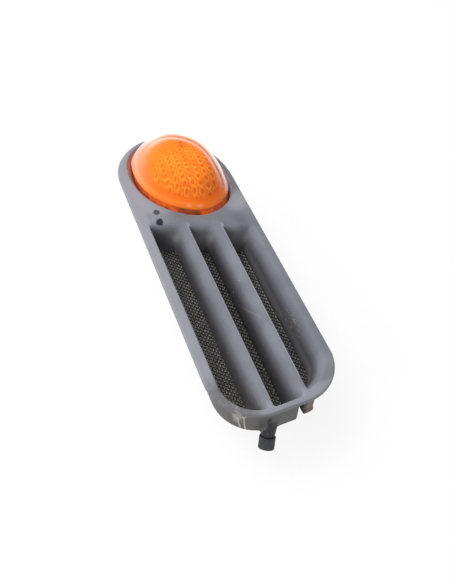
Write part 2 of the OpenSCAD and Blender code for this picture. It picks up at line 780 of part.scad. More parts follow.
module bulb_holder() {
    pocket_bot = wedge_bot - contact_t;
    color([0.12, 0.12, 0.13]) at_lamp() difference() {
        union() {
            translate([0, 0, holder_bot]) cylinder(h = holder_t, r = holder_r);
            translate([0, 0, seal_bot]) cylinder(h = holder_top - seal_bot, r = neck_r);
            // Bayonet lugs that hold on the floor of the cup
            for (a = [90, 270])
                rotate([0, 0, a]) translate([neck_r - over, -bayonet_w / 2, cup_bot + cup_t])
                    cube([bayonet_out + over, bayonet_w, bayonet_h]);
            translate([-shroud_w / 2, -shroud_d / 2, shroud_bot])
                cube([shroud_w, shroud_d, shroud_l]);
        }
        // Pocket for the wedge base, between the contacts
        translate([-wedge_w / 2 - wedge_gap, -wedge_t / 2 - wedge_gap, pocket_bot])
            cube([wedge_w + 2 * wedge_gap, wedge_t + 2 * wedge_gap, holder_top - pocket_bot + over]);
        translate([-shroud_w / 2 + shroud_t, -shroud_d / 2 + shroud_t, shroud_bot - over])
            cube([shroud_w - 2 * shroud_t, shroud_d - 2 * shroud_t, shroud_l + over]);
        for (s = [-1, 1])
            translate([s * contact_x - contact_t / 2, -contact_w / 2, shroud_bot])
                cube([contact_t, contact_w, holder_top - shroud_bot + over]);
    }
}

module holder_seal() {
    color([0.2, 0.2, 0.2]) at_lamp() translate([0, 0, seal_bot]) difference() {
        cylinder(h = seal_t, r = holder_r - seal_edge);
        translate([0, 0, -over]) cylinder(h = seal_t + 2 * over, r = neck_r);
    }
}

module peg_sleeve() {
    color([0.16, 0.17, 0.19]) peg_axis() difference() {
        translate([0, 0, peg_root_l]) cylinder(h = sleeve_l, r = sleeve_r);
        translate([0, 0, peg_root_l - over]) cylinder(h = sleeve_l - sleeve_end + over, r = peg_core_r);
    }
}

grille_frame();
mesh_screen();
lens();
lens_gasket();
lamp_body();
lamp_screw_left();
lamp_screw_right();
bulb_glass();
bulb_filament();
bulb_lead_left();
bulb_lead_right();
bulb_holder();
holder_seal();
contact_left();
contact_right();
peg_sleeve();
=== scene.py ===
"""Looks of a side repeater lamp set in a moulded vent grille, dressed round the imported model."""

import json
import logging
import math
from contextlib import contextmanager
from dataclasses import dataclass
from enum import Enum
from functools import cached_property, reduce
from operator import mul
from typing import Any, Callable, ClassVar, Iterator, Sequence

import bpy
from mathutils import Matrix, Vector

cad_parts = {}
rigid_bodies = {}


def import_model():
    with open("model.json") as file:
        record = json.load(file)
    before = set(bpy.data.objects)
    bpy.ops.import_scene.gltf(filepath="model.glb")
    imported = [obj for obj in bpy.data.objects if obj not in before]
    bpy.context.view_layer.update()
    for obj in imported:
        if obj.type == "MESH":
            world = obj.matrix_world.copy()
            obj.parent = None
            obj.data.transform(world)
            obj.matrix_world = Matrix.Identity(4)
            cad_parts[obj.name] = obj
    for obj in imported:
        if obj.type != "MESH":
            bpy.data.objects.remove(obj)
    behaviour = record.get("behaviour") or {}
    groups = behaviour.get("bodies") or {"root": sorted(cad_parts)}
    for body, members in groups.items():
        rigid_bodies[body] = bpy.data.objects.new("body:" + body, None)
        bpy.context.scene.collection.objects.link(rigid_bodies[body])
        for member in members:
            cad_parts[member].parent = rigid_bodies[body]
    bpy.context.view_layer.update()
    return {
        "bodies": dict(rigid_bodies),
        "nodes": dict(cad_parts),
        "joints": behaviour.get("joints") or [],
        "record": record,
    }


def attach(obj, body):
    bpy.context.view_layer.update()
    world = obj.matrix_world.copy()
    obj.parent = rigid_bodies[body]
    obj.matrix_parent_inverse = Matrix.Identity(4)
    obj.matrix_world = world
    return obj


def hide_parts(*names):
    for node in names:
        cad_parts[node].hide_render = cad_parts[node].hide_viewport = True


log = logging.getLogger("side_repeater")

# A span holds the ends of a smooth step and, where it has four numbers, the results there.
# A region holds smooth steps, each with its way and its span, whose product it is.
Colour = tuple[float, float, float, float]
Spot = tuple[float, float]
Span = tuple[float, ...]
Region = tuple[tuple, ...]

MM = 0.001
BODY = "root"

# Sizes that the pieces share, in millimetres and degrees
SLOT_FLOOR = -16.3
SLOT_WALLS = (-26.3, -5.4, 12.6)
SCOOP_SLANT = 0.4
LAMP_CENTRE = (2.4, 62.4)
LAMP_TILT = 25.5
LAMP_HALF_W = 26.1
LAMP_HALF_L = 36.9


class Axis(Enum):
    """The two ways in which the screen's wires run, in degrees."""

    RISING = 45.0
    FALLING = 135.0


class Way(Enum):
    """Ways in which a finish changes; the slant is square to the slots' far end."""

    ACROSS = "x"
    ALONG = "y"
    UP = "z"
    SLANTED = "slant"


X, Y, Z, SLANT = Way


def maths(operation: str, swapped: bool = False) -> Callable[..., "Value"]:
    """Makes a method of Value that adds one Math node.

    Args:
        operation: the node's operation.
        swapped: whether the other value comes before the method's own.

    Returns:
        The method.
    """
    def method(value: "Value", *others: Any) -> "Value":
        """Adds the node.

        Args:
            value: the method's own value.
            others: the other value or number, if any.

        Returns:
            The node's result.
        """
        inputs = (*others, value) if swapped else (value, *others)
        node = value.tree.add("ShaderNodeMath", {"operation": operation}, dict(enumerate(inputs)))
        return Value(value.tree, node.outputs[0])

    return method


@dataclass(eq=False)
class Value:
    """A socket of a node tree that takes part in sums, so that shader maths reads as Python."""

    tree: "Tree"
    socket: bpy.types.NodeSocket

    __add__ = __radd__ = maths("ADD")
    __sub__ = maths("SUBTRACT")
    __rsub__ = maths("SUBTRACT", swapped=True)
    __mul__ = __rmul__ = maths("MULTIPLY")
    __truediv__ = maths("DIVIDE")
    __pow__ = maths("POWER")
    absolute = maths("ABSOLUTE")
    fraction = maths("FRACT")
    at_most = maths("MINIMUM")
    at_least = maths("MAXIMUM")

    def ramp(self, low: float, high: float, start: float = 0.0, end: float = 1.0) -> "Value":
        """Smooth step of the value.

        Args:
            low: where the step starts.
            high: where the step ends.
            start: the result at low.
            end: the result at high.

        Returns:
            The stepped value, held at its ends.
        """
        settings = {"interpolation_type": "SMOOTHSTEP"}
        inputs = {0: self, 1: low, 2: high, 3: start, 4: end}
        return Value(self.tree, self.tree.add("ShaderNodeMapRange", settings, inputs).outputs[0])


class Tree:
    """Node tree that is emptied and then filled through one method."""

    def __init__(self, node_tree: bpy.types.NodeTree) -> None:
        """Empties a node tree.

        Args:
            node_tree: the tree of a material or world.
        """
        self.nodes = node_tree.nodes
        self.links = node_tree.links
        self.nodes.clear()

    def add(self, kind: str, settings: dict[str, Any], inputs: dict[Any, Any]) -> bpy.types.Node:
        """Adds a node, sets it up and fills its sockets.

        Args:
            kind: the node's type.
            settings: properties of the node.
            inputs: a number, colour, socket or Value for each socket's name or place.

        Returns:
            The new node.
        """
        node = self.nodes.new(kind)
        for key, value in settings.items():
            setattr(node, key, value)
        for key, value in inputs.items():
            self.feed(node.inputs[key], value)
        return node

    def feed(self, socket: bpy.types.NodeSocket, value: Any) -> None:
        """Links an input, or sets it to a plain value.

        Args:
            socket: the input.
            value: a number, colour, socket or Value.
        """
        if isinstance(value, Value):
            value = value.socket
        if isinstance(value, bpy.types.NodeSocket):
            self.links.new(value, socket)
        else:
            socket.default_value = value

    def seen_by(self, *rays: str) -> Value:
        """1 for rays of the named kinds, outputs of the Light Path node, and 0 for others."""
        path = self.add("ShaderNodeLightPath", {}, {})
        return reduce(Value.at_least, (Value(self, path.outputs[ray]) for ray in rays))


class SurfaceTree(Tree):
    """Node tree of one material, with a principled surface at its end."""

    def __init__(self, name: str) -> None:
        """Starts an empty material.

        Args:
            name: the material's name.
        """
        self.material = bpy.data.materials.new(name)
        self.material.use_nodes = True
        super().__init__(self.material.node_tree)
        self.shader = self.add("ShaderNodeBsdfPrincipled", {}, {})
        self.output = self.add("ShaderNodeOutputMaterial", {}, {"Surface": self.shader.outputs[0]})
        self.place = self.add("ShaderNodeTexCoord", {}, {}).outputs["Object"]
        self.colour: Any = (1.0, 1.0, 1.0, 1.0)

    @cached_property
    def places(self) -> dict[Way, Value]:
        """Place on the object, in millimetres.

        Returns:
            The place in each way.
        """
        parts = self.add("ShaderNodeSeparateXYZ", {}, {0: self.place}).outputs
        x, y, z = (Value(self, part) * (1 / MM) for part in parts)
        return {X: x, Y: y, Z: z, SLANT: y + x * SCOOP_SLANT}

    @property
    def position(self) -> tuple[Value, ...]:
        """Place on the object across the grille, along it and up, in millimetres."""
        return tuple(self.places[way] for way in (X, Y, Z))

    def region(self, steps: Region) -> Value:
        """Product of smooth steps, each with its way and its span."""
        return reduce(mul, (self.places[way].ramp(*span) for way, *span in steps))

    def coat(self, strength: Any, colour: Any) -> None:
        """Lays a colour over the surface's colour, as strongly as given."""
        self.colour = self.mix(strength, self.colour, colour)

    def noise(self, size_mm: float, detail: float = 2.0, roughness: float = 0.5) -> Value:
        """Noise of a given grain.

        Args:
            size_mm: size of the noise's largest lumps.
            detail: number of finer layers.
            roughness: strength of the finer layers.

        Returns:
            A value about 0.5.
        """
        scale = [1 / (size_mm * MM)] * 3
        mapped = self.add("ShaderNodeMapping", {}, {"Vector": self.place, "Scale": scale})
        inputs = {"Vector": mapped.outputs[0], "Scale": 1.0, "Detail": detail,
                  "Roughness": roughness}
        return Value(self, self.add("ShaderNodeTexNoise", {}, inputs).outputs[0])

    def mix(self, factor: Any, first: Any, second: Any) -> bpy.types.NodeSocket:
        """Mixes two colours.

        Args:
            factor: share of the second colour.
            first: the first colour or socket.
            second: the second colour or socket.

        Returns:
            The mixed colour's socket.
        """
        node = self.add("ShaderNodeMix", {"data_type": "RGBA"}, {})
        by_id = {s.identifier: s for s in node.inputs}
        self.feed(by_id["Factor_Float"], factor)
        self.feed(by_id["A_Color"], first)
        self.feed(by_id["B_Color"], second)
        return next(s for s in node.outputs if s.identifier == "Result_Color")

    def bump(self, height: Value, depth_mm: float) -> bpy.types.NodeSocket:
        """Normal of a surface with a relief of the given depth."""
        inputs = {"Height": height, "Distance": depth_mm * MM, "Strength": 1.0}
        return self.add("ShaderNodeBump", {}, inputs).outputs[0]

    def surface(self, **sockets: Any) -> None:
        """Fills the principled surface.

        Args:
            sockets: values of its inputs, with underscores for spaces.
        """
        self.feed(self.shader.inputs["Base Color"], self.colour)
        for key, value in sockets.items():
            self.feed(self.shader.inputs[key.replace("_", " ")], value)


def rgb(red: int, green: int, blue: int) -> Colour:
    """Shader colour of a screen colour from 0 to 255."""
    return tuple((c / 255 / 12.92 if c < 11 else ((c / 255 + 0.055) / 1.055) ** 2.4)
                 for c in (red, green, blue)) + (1.0,)


@dataclass(frozen=True)
class Pillow:
    """One pillow of the lens optics: steps between two of them and their reach, in millimetres."""

    step_x: float = 4.2
    step_y: float = 3.1
    reach_x: float = 1.7
    reach_y: float = 1.45
    rise: float = 0.5

    def height(self, x: float, y: float) -> float:
        """Height of the pillows over a point of the frame.

        Args:
            x: the point's place across the grille, in millimetres.
            y: its place along the grille.

        Returns:
            The height in millimetres.
        """
        highest = 0.0
        for shift in (0.0, 0.5):
            across = ((x / (2 * self.step_x) + shift) % 1.0 - 0.5) * 2 * self.step_x / self.reach_x
            along = ((y / self.step_y + shift) % 1.0 - 0.5) * self.step_y / self.reach_y
            highest = max(highest, 1.0 - across ** 2 - along ** 2)
        return self.rise * math.sqrt(highest)


def near_point(x: Value, y: Value, place: Spot) -> Value:
    """Distance of the surface, in two of its directions, from a point in millimetres."""
    return ((x - place[0]) ** 2.0 + (y - place[1]) ** 2.0) ** 0.5


def near_lamp(x: Value, y: Value) -> Value:
    """Reach of the surface, seen from above, from the lamp's middle.

    Args:
        x: place across the grille, in millimetres.
        y: place along the grille.

    Returns:
        The reach as a share of that of the lamp's oval opening.
    """
    turn = math.radians(LAMP_TILT)
    across, along = x - LAMP_CENTRE[0], y - LAMP_CENTRE[1]
    u = across * math.cos(turn) + along * math.sin(turn)
    v = along * math.cos(turn) - across * math.sin(turn)
    return ((u / LAMP_HALF_W) ** 2.0 + (v / LAMP_HALF_L) ** 2.0) ** 0.5


def near_line(x: Value, y: Value, first: Spot, second: Spot) -> Value:
    """Distance of the surface, in two of its directions, from a line between two points.

    Args:
        x: place in the first direction, in millimetres.
        y: place in the second direction.
        first: one end of the line.
        second: its other end.

    Returns:
        The distance in millimetres.
    """
    along = (second[0] - first[0], second[1] - first[1])
    length = math.hypot(*along)
    across = (x - first[0]) * (along[1] / length) - (y - first[1]) * (along[0] / length)
    reach = (x - first[0]) * (along[0] / length) + (y - first[1]) * (along[1] / length)
    return across.absolute().at_least(-1.0 * reach).at_least(reach - length)


@dataclass(frozen=True)
class Finish:
    """A procedural finish, painted coat by coat on a tree of its own."""

    name: str

    @cached_property
    def tree(self) -> SurfaceTree:
        """Node tree of the finish's material."""
        return SurfaceTree(self.name)

    def paint(self) -> None:
        """Paints the tree; each kind of finish has its own way."""
        raise NotImplementedError

    def material(self) -> bpy.types.Material:
        """Paints the finish and gives its material."""
        self.paint()
        return self.tree.material


@dataclass(frozen=True)
class GrilleFinish(Finish):
    """Weathered blue-grey moulded plastic, dirty on the skirt, with painted shade and light."""

    name: str = "grille_plastic"
    base: Colour = rgb(106, 108, 116)
    pale: Colour = rgb(124, 126, 136)
    painted_shade: Colour = rgb(56, 56, 65)
    light_patches: Colour = rgb(146, 147, 155)
    crest_highlight: Colour = rgb(160, 161, 174)
    lit: Colour = rgb(172, 170, 177)
    soil: Colour = rgb(82, 79, 76)
    rust: Colour = rgb(134, 112, 96)
    lit_ledge: Colour = rgb(204, 190, 168)
    cool_lit_ledge: Colour = rgb(178, 190, 214)
    tar_and_shade: Colour = rgb(34, 35, 40)
    dust: Colour = rgb(170, 167, 160)
    grain_mm: float = 0.35

    tar_spots: tuple = ((-20.1, 31.2, 2.1, 1.0), (-19.6, 39.0, 2.0, 0.8))
    specks: tuple = ((7.3, -22.4, 0.5, 0.45), (3.6, -22.8, 0.36, 0.95))
    threads: tuple = (((2.9, -31.0), (5.3, -40.7)), ((5.3, -40.7), (8.4, -49.0)))
    scratches: tuple = (((-21.6, 1.5), (-19.9, -5.0)), ((-19.9, -5.0), (-19.2, -17.0)),
                        ((-22.4, -6.0), (-21.2, -16.0)), ((-19.9, -5.0), (-18.4, 0.5)))
    scuff: Spot = (-22.4 * 2.6, -4.0 * 0.6)
    scuff_squash: Spot = (2.6, 0.6)
    slit: Spot = (-8.2, -8.5 * 0.24)
    slit_squash: float = 0.24
    crests: tuple = ((-5.5, -94.0), (12.6, -88.0))
    crest_half: Span = (1.3, 0.4)
    slots_middle: Spot = (0.0, -16.0)
    slots_squash: float = 0.35
    slots_edge: Span = (34.0, 26.0)
    lit_spot: Spot = (27.0, 31.0)
    soiled_corner: Spot = (-28.0, -90.0)
    seat_edge: Span = (1.042, 1.03)
    cool_side: Span = (4.0, 16.0)

    rim_left: Region = ((Z, 2.0, 3.1), (X, -8.0, -24.0))
    depth: Region = ((Z, 3.0, -8.0), (SLANT, 8.0, 18.0, 0.85, 0.0), (X, 13.0, 17.0, 1.0, 0.65))
    far_slope: Region = ((SLANT, 13.0, 17.0), (SLANT, 27.0, 23.0), (Z, 0.5, -6.0))
    wall_foot: Region = ((X, 16.0, 19.0), (Z, -5.0, -10.0))
    rise: Region = ((SLANT, 4.0, 18.0), (SLANT, 33.0, 27.0), (X, -27.0, -24.0), (X, 27.0, 24.0))
    right_wall: Region = ((X, 20.0, 23.0), (X, 29.5, 26.5, 0.3, 1.0), (Y, -84.0, -66.0),
                          (Y, 24.0, 14.0))
    crest_top: Region = ((Z, 2.0, 2.8), (SLANT, 24.0, 19.0))
    pale_near_rim: Region = ((Y, -92.0, -95.0), (Z, 2.4, 2.9), (X, -16.0, -11.0))
    seat_wall: Region = ((Z, -5.0, -3.4), (Z, 3.0, 1.8))
    near_edge: Region = ((SLANT, -84.0, -98.0), (Z, 2.4, 0.6))
    skirt: Region = ((Z, 0.2, -1.0), (Y, -84.0, -96.0, 0.4, 1.0))
    tab: Region = ((X, 9.0, 9.4), (Y, -90.0, -92.0), (Z, -1.0, -3.0))
    peg_root: Region = ((Y, -99.3, -100.2), (Z, -9.0, -13.0))
    patch: Region = ((X, 21.0, 22.6), (X, 26.0, 24.6), (Y, -68.0, -58.0), (Y, -43.0, -48.0))
    front: Region = ((Y, -84.0, -88.0),)

    @cached_property
    def fine(self) -> Value:
        """Fine noise that mottles the soil and frays the marks."""
        return self.tree.noise(2.2, 3.0, 0.6)

    def paint_slots(self) -> None:
        """Paints shade in the slots and on the right wall, and light on their far slopes."""
        tree = self.tree
        x, y, _ = tree.position
        inside = near_point(x, y * self.slots_squash, self.slots_middle).ramp(*self.slots_edge)
        # Painted shade, deeper towards the slots' floor.
        tree.coat(tree.region(self.depth) * inside, self.painted_shade)
        # Painted light on the far slopes and at the foot of the right wall.
        slope = tree.region(self.far_slope).at_least(tree.region(self.wall_foot) * 0.6)
        tree.coat(slope * inside * 0.9, self.lit)
        # Painted shade on the rise to the lamp and on the right wall.
        tree.coat(tree.region(self.rise) * 0.2, self.painted_shade)
        tree.coat(tree.region(self.right_wall) * 0.22, self.painted_shade)

    def paint_light_patches(self) -> None:
        """Paints highlights on the slats' crests, light at the rim's far right, and a paler near
        rim.
        """
        tree = self.tree
        x, y, _ = tree.position
        # Painted highlights along the slats' crests.
        for place, end in self.crests:
            crest_highlight = (x - place).absolute().ramp(*self.crest_half) * y.ramp(end, end + 2.0)
            tree.coat(crest_highlight * tree.region(self.crest_top) * 0.65, self.crest_highlight)
        # Painted light at the rim's far right; the near rim's top is made paler.
        far = near_point(x, y, self.lit_spot).ramp(11.0, 4.0) * 0.55
        tree.coat(far.at_least(tree.region(self.pale_near_rim) * 0.5), self.light_patches)

    def paint_seat(self) -> None:
        """Paints light over the dusty ledge and wall by the lamp, warm on the left, cool on the
        right.
        """
        tree = self.tree
        x, y, _ = tree.position
        # Dust on the ledge and wall, with painted light that lifts them out of their shade.
        dust = tree.mix(x.ramp(*self.cool_side), self.lit_ledge, self.cool_lit_ledge)
        tree.coat(near_lamp(x, y).ramp(*self.seat_edge) * tree.region(self.seat_wall), dust)

    def paint_near_end(self) -> None:
        """Soils the near corner, edge and skirt, tints the tab, darkens the peg's root, and paints
        shade in the slit.
        """
        tree = self.tree
        x, y, z = tree.position
        corner = near_point(x, y, self.soiled_corner).ramp(22.0, 7.0)
        for soiled, least, most in ((corner, 0.45, 0.75),
                                    (tree.region(self.near_edge), 0.12, 0.3),
                                    (tree.region(self.skirt), 0.45, 0.9)):
            tree.coat(soiled * self.fine.ramp(0.3, 0.7, least, most), self.soil)
        tab = tree.region(self.tab)
        tree.coat(tab * x.ramp(11.2, 10.6, 0.45, 0.0), self.rust)
        # Painted shade in the slit above the peg and on the tab's left side face; the peg's root
        # is darker.
        slit = near_point(x, z * self.slit_squash, self.slit).ramp(1.4, 0.9)
        slit = slit * y.ramp(-95.0, -98.0)
        slit = slit.at_least(tab * x.ramp(11.4, 10.6) * 0.85)
        tree.coat((tree.region(self.peg_root) * 0.75).at_least(slit * 0.85), self.tar_and_shade)

    def paint_marks(self) -> None:
        """Lays tar spots, the dusty patch, specks, threads and scratches over the plastic."""
        tree, fine = self.tree, self.fine
        x, y, z = tree.position
        for spot_x, spot_y, radius, strength in self.tar_spots:
            away = near_point(x, y, (spot_x, spot_y)) + (fine - 0.5) * 3.0
            spot = away.ramp(radius * 1.2, radius * 0.8) * z.ramp(1.0, 2.0)
            tree.coat(spot * strength, self.tar_and_shade)
        patch = tree.region(self.patch)
        tree.coat(patch * 0.3, self.soil)
        tree.coat(patch * tree.noise(1.4, 4.0, 0.7).ramp(0.52, 0.64) * 0.38, self.dust)
        for spot_x, spot_y, radius, strength in self.specks:
            speck = near_point(x, y, (spot_x, spot_y)).ramp(radius, radius * 0.5)
            tree.coat(speck * strength, self.dust)
        for first, second in self.threads:
            thread = (near_line(x, y, first, second) + (fine - 0.5) * 0.4).ramp(0.3, 0.14)
            tree.coat(thread * z.ramp(-9.0, -4.0) * 0.15, self.dust)
        front = tree.region(self.front)
        wide, high = self.scuff_squash
        scuff = near_point(x * wide, z * high, self.scuff) + (fine - 0.5) * 7.0
        tree.coat(scuff.ramp(6.0, 3.0) * front * 0.5, self.dust)
        for first, second in self.scratches:
            scratch = (near_line(x, z, first, second) + (fine - 0.5) * 1.4).ramp(0.34, 0.14)
            tree.coat(scratch * front * 0.9, self.dust)
        tree.coat(tree.noise(1.1, 1.0).ramp(0.72, 0.8) * 0.4, self.dust)

    def paint(self) -> None:
        """Paints the plastic and then what lies on it."""
        tree = self.tree
        cloud = tree.noise(16.0, 3.0)
        tree.colour = tree.mix(cloud.ramp(0.3, 0.7) * 0.6, self.base, self.pale)
        # Painted light on the left band of the rim.
        tree.coat(tree.region(self.rim_left) * 0.6, self.light_patches)
        self.paint_slots()
        self.paint_light_patches()
        self.paint_seat()
        self.paint_near_end()
        self.paint_marks()
        grain = tree.noise(self.grain_mm, 1.0) + self.fine * 0.6
        tree.surface(Roughness=cloud.ramp(0.3, 0.7, 0.48, 0.6), Specular_IOR_Level=0.4,
                     Normal=tree.bump(grain, 0.05))


@dataclass(frozen=True)
class ShellFinish(Finish):
    """Clear amber plastic of the lens, with painted reflections edge on and dark in its wall."""

    name: str = "lens_shell_amber"
    clear: Colour = rgb(255, 132, 24)
    reflection_white: Colour = rgb(248, 226, 220)
    reflection_pink: Colour = rgb(240, 148, 130)
    edge: Colour = rgb(178, 72, 26)
    lit_edge: Colour = rgb(236, 108, 36)
    dark_patch: Colour = rgb(104, 48, 28)
    mark: Colour = rgb(196, 76, 18)
    unlit: Colour = (0.0, 0.0, 0.0, 1.0)
    wall_top: float = 4.3
    glow: float = 0.2
    most: float = 0.97
    mark_place: Spot = (6.1, 66.6)
    dark_patch_place: Spot = (-1.0, 33.5)
    gleams: tuple = ((-0.9, 34.6), (4.9, 31.4))
    gleam_height: Region = ((Z, 5.0, 5.8), (Z, 7.6, 6.4))

    def paint_wall(self) -> Value:
        """Darkens and streaks the upright wall, with a darker patch at its foot.

        Returns:
            The wall's share of the surface.
        """
        tree = self.tree
        x, y, z = tree.position
        wall = z.ramp(self.wall_top + 0.3, self.wall_top - 0.3)
        streak = tree.noise(7.0, 2.0, 0.6).ramp(0.42, 0.62) * z.ramp(3.6, 1.0, 0.4, 1.0)
        tree.coat(wall, tree.mix(streak, self.edge, self.lit_edge))
        # A darker patch low on the wall.
        dark_patch = near_point(x, y, self.dark_patch_place).ramp(8.0, 4.5) * z.ramp(4.4, 3.6)
        tree.coat(dark_patch * 0.7, self.dark_patch)
        return wall

    def paint(self) -> None:
        """Paints the dome and its wall, their marks, and painted reflections and highlights."""
        tree = self.tree
        x, y, z = tree.position
        cloud = tree.noise(9.0, 2.0)
        facing = tree.add("ShaderNodeLayerWeight", {}, {"Blend": 0.4}).outputs["Facing"]
        facing = Value(tree, facing)
        # Painted reflection of the white surroundings where the dome is seen edge on, pinker on
        # the left.
        left = (y * 0.45 - x).ramp(30.0, 46.0) * facing.ramp(0.2, 0.55)
        side = (y * 0.2 - x).ramp(18.0, 34.0)
        glare = facing.ramp(0.34, 0.74) * (self.most - side * 0.3) + left * 0.3
        glare = glare.at_most(self.most)
        tree.colour = tree.mix(glare, self.clear, tree.mix(side, self.reflection_white, self.reflection_pink))
        wall = self.paint_wall()
        mark = near_point(x, y, self.mark_place).ramp(1.5, 0.9) * z.ramp(10.0, 14.0)
        tree.coat(mark, self.mark)
        # Painted highlights.
        for place in self.gleams:
            gleam = near_point(x, y, place).ramp(2.4, 0.2) * tree.region(self.gleam_height)
            tree.coat(gleam * 0.25, self.reflection_white)
        rim = z.ramp(10.5, 6.5) * 0.5 + facing.ramp(0.1, 0.8, 0.22, 0.4)
        alpha = (glare * 0.85 + wall * 0.3 + mark * 0.6 + rim).at_most(self.most)
        shine = z.ramp(10.5, 5.5, 0.0, 0.9).at_least(glare * (0.9 - side * 0.9))
        tree.surface(Roughness=cloud.ramp(0.3, 0.7, 0.1, 0.2), Alpha=alpha,
                     Emission_Color=tree.mix(shine, self.unlit, tree.colour),
                     Emission_Strength=self.glow, IOR=1.49, Specular_IOR_Level=0.3,
                     Coat_Weight=0.5, Coat_Roughness=0.06)


@dataclass(frozen=True)
class OpticFinish(Finish):
    """Deep amber of the pillow optics under the lens's smooth skin."""

    name: str = "lens_optics_amber"
    bright: Colour = rgb(255, 190, 62)
    middle: Colour = rgb(244, 130, 14)
    deep: Colour = rgb(186, 72, 2)
    glow: float = 0.15
    rim_reach: float = 0.92
    rim_half: Span = (0.34, 0.08)
    middle_reach: Span = (0.62, 0.2)
    height: Span = (5.5, 8.0)
    far_end: Span = (72.0, 60.0)

    def loops(self, shift: float) -> tuple[Value, Value]:
        """Painted highlights on the rims and painted shade in the middles of every second column
        of pillows.

        Args:
            shift: place of the pattern, in steps of the pillows.

        Returns:
            The strength of the rims and of the middles.
        """
        x, y, _ = self.tree.position
        cell = Pillow()
        across = (x / (2 * cell.step_x) + shift).fraction() - 0.5
        along = (y / cell.step_y + shift).fraction() - 0.5
        across = across * (2 * cell.step_x / cell.reach_x)
        along = along * (cell.step_y / cell.reach_y)
        away = (across ** 2.0 + along ** 2.0) ** 0.5
        rim = (away - self.rim_reach).absolute().ramp(*self.rim_half)
        return rim, away.ramp(*self.middle_reach)

    def paint(self) -> None:
        """Paints the amber, with painted highlights and shade in the loops of its pillows."""
        tree = self.tree
        x, y, z = tree.position
        shade = tree.noise(11.0, 2.0)
        tree.colour = tree.mix(shade.ramp(0.35, 0.65) * 0.5, self.middle, self.deep)
        whole = z.ramp(*self.height) * (y - x * SCOOP_SLANT).ramp(*self.far_end)
        # Patches where the loops' painted highlights and shade show.
        light_patches = tree.noise(3.2, 3.0, 0.7).ramp(0.38, 0.58, 0.25, 1.0)
        for shift in (0.0, 0.5):
            rim, middle = self.loops(shift)
            tree.coat(rim * whole * light_patches * 0.95, self.bright)
            tree.coat(middle * whole * light_patches.ramp(0.25, 1.0, 0.5, 0.85), self.deep)
        tree.surface(Roughness=shade.ramp(0.3, 0.7, 0.3, 0.4), Emission_Color=tree.colour,
                     Emission_Strength=self.glow)


@dataclass(frozen=True)
class PlainFinish(Finish):
    """A plain material with slight clouding, for pieces that are hidden or small."""

    colour: Colour
    roughness: float
    metallic: float = 0.0
    alpha: float = 1.0
    cloud_mm: float = 3.0
    relief_mm: float = 0.02
    darker: float = 0.72

    def paint(self) -> None:
        """Clouds the colour and the roughness."""
        tree = self.tree
        cloud = tree.noise(self.cloud_mm, 3.0)
        darker = tuple(c * self.darker for c in self.colour[:3]) + (1.0,)
        tree.colour = tree.mix(cloud.ramp(0.3, 0.7), self.colour, darker)
        rough = cloud.ramp(0.3, 0.7, self.roughness * 0.85, min(1.0, self.roughness * 1.15))
        tree.surface(Roughness=rough, Metallic=self.metallic, Alpha=self.alpha,
                     Normal=tree.bump(cloud, self.relief_mm))


@dataclass(frozen=True)
class ScreenFinish(Finish):
    """Dusty dark wire, paler on the knuckles that stand up."""

    name: str = "mesh_wire"
    wire: Colour = rgb(40, 40, 40)
    dusty: Colour = rgb(166, 162, 151)
    grey: Colour = rgb(158, 158, 164)
    knuckles: Region = ((Z, SLOT_FLOOR - 0.3, SLOT_FLOOR + 0.25),)
    right_corner: Region = ((X, 14.0, 16.0), (Y, -45.0, -55.0))

    def paint(self) -> None:
        """Paints the wire and dusts its knuckles."""
        tree = self.tree
        tree.colour = self.wire
        patches = tree.noise(3.5, 3.0).ramp(0.3, 0.65, 0.45, 1.0)
        dust = tree.mix(tree.region(self.right_corner), self.dusty, self.grey)
        tree.coat(tree.region(self.knuckles) * patches, dust)
        tree.surface(Roughness=0.7, Normal=tree.bump(tree.noise(0.6), 0.04))


def deselect_all() -> None:
    """Leaves edit mode and empties the selection."""
    if bpy.context.object and bpy.context.object.mode != "OBJECT":
        bpy.ops.object.mode_set(mode="OBJECT")
    bpy.ops.object.select_all(action="DESELECT")


def make_active(*pieces: bpy.types.Object) -> None:
    """Selects some objects alone and makes the first one active.

    Args:
        pieces: the objects.
    """
    deselect_all()
    for piece in pieces:
        piece.select_set(True)
    bpy.context.view_layer.objects.active = pieces[0]


def apply_modifier(piece: bpy.types.Object, kind: str, **settings: Any) -> None:
    """Adds a modifier with its settings and applies it.

    Args:
        piece: the object.
        kind: the modifier's type.
        settings: the modifier's properties.
    """
    make_active(piece)
    modifier = piece.modifiers.new(kind.lower(), kind)
    for key, value in settings.items():
        setattr(modifier, key, value)
    bpy.ops.object.modifier_apply(modifier=modifier.name)


def apply_place(piece: bpy.types.Object) -> None:
    """Moves an object's place and turn into its mesh."""
    make_active(piece)
    bpy.ops.object.transform_apply(location=True, rotation=True, scale=True)


@contextmanager
def editing(piece: bpy.types.Object) -> Iterator[None]:
    """Holds an object in edit mode, with all of it selected.

    Args:
        piece: the object.

    Returns:
        The context.
    """
    make_active(piece)
    bpy.ops.object.mode_set(mode="EDIT")
    bpy.ops.mesh.select_all(action="SELECT")
    yield
    bpy.ops.object.mode_set(mode="OBJECT")


def name_piece(name: str) -> bpy.types.Object:
    """Names the active object, such as a primitive just added, and its mesh.

    Args:
        name: the new name.

    Returns:
        The object.
    """
    piece = bpy.context.object
    piece.name = name
    piece.data.name = name
    return piece


def join_pieces(pieces: Sequence[bpy.types.Object], name: str) -> bpy.types.Object:
    """Joins objects into the first of them.

    Args:
        pieces: the objects.
        name: the joined object's name.

    Returns:
        The joined object.
    """
    make_active(*pieces)
    bpy.ops.object.join()
    return name_piece(name)


def dress(piece: bpy.types.Object, material: bpy.types.Material) -> None:
    """Gives an object one material on all its slots.

    Args:
        piece: the object.
        material: the material.
    """
    if not piece.material_slots:
        piece.data.materials.append(material)
    for slot in piece.material_slots:
        slot.material = material


